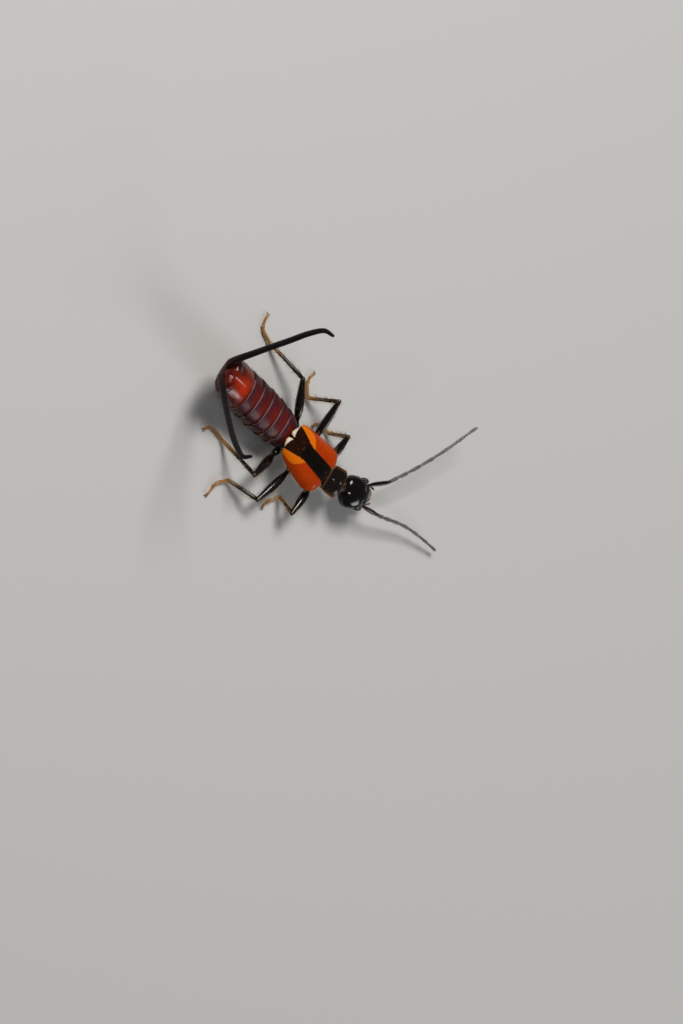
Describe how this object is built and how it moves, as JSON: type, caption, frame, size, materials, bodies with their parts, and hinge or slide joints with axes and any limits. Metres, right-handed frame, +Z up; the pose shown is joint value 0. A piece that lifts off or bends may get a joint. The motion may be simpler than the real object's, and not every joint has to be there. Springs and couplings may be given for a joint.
{
  "type": "earwig",
  "caption": "Life-size still earwig with raised red abdomen, short orange wing cases and long slender forceps held up and open.",
  "frame": {"origin": "on the floor, below the middle of the whole animal's box, feelers, feet and forceps included", "axes": "+X from the tail towards the head, +Y to the animal's left, +Z up"},
  "size_m": [0.023, 0.0154, 0.0094],
  "materials": {
    "black_shell": "glossy black-brown cuticle",
    "orange_shell": "translucent orange-red wing case with a black band along the seam",
    "cream_membrane": "cream leathery wing tip",
    "red_shell": "dark maroon cuticle with a soft bloom and pale ring edges",
    "bright_red_shell": "glossy orange-red cuticle, darker at the edges",
    "forceps_brown": "dark red-brown horn",
    "leg_black": "glossy black, golden brown towards the feet",
    "feeler_brown": "dark brown with fine grey down",
    "mouth_brown": "brown mouthparts",
    "eye_black": "black faceted eye"
  },
  "bodies": {
    "root": {"thorax": "black_shell", "pronotum": "black_shell", "head": "black_shell", "mouthparts": "mouth_brown", "elytron_left": "orange_shell", "elytron_right": "orange_shell", "wing_tip_left": "cream_membrane", "wing_tip_right": "cream_membrane", "eye_left": "eye_black", "eye_right": "eye_black", "abdomen_front": "red_shell", "abdomen_middle": "red_shell", "abdomen_rear": "bright_red_shell", "forceps_left": "forceps_brown", "forceps_right": "forceps_brown", "antenna_left": "feeler_brown", "antenna_right": "feeler_brown", "leg_fore_left": "leg_black", "leg_fore_right": "leg_black", "leg_middle_left": "leg_black", "leg_middle_right": "leg_black", "leg_hind_left": "leg_black", "leg_hind_right": "leg_black"}
  },
  "joints": []
}
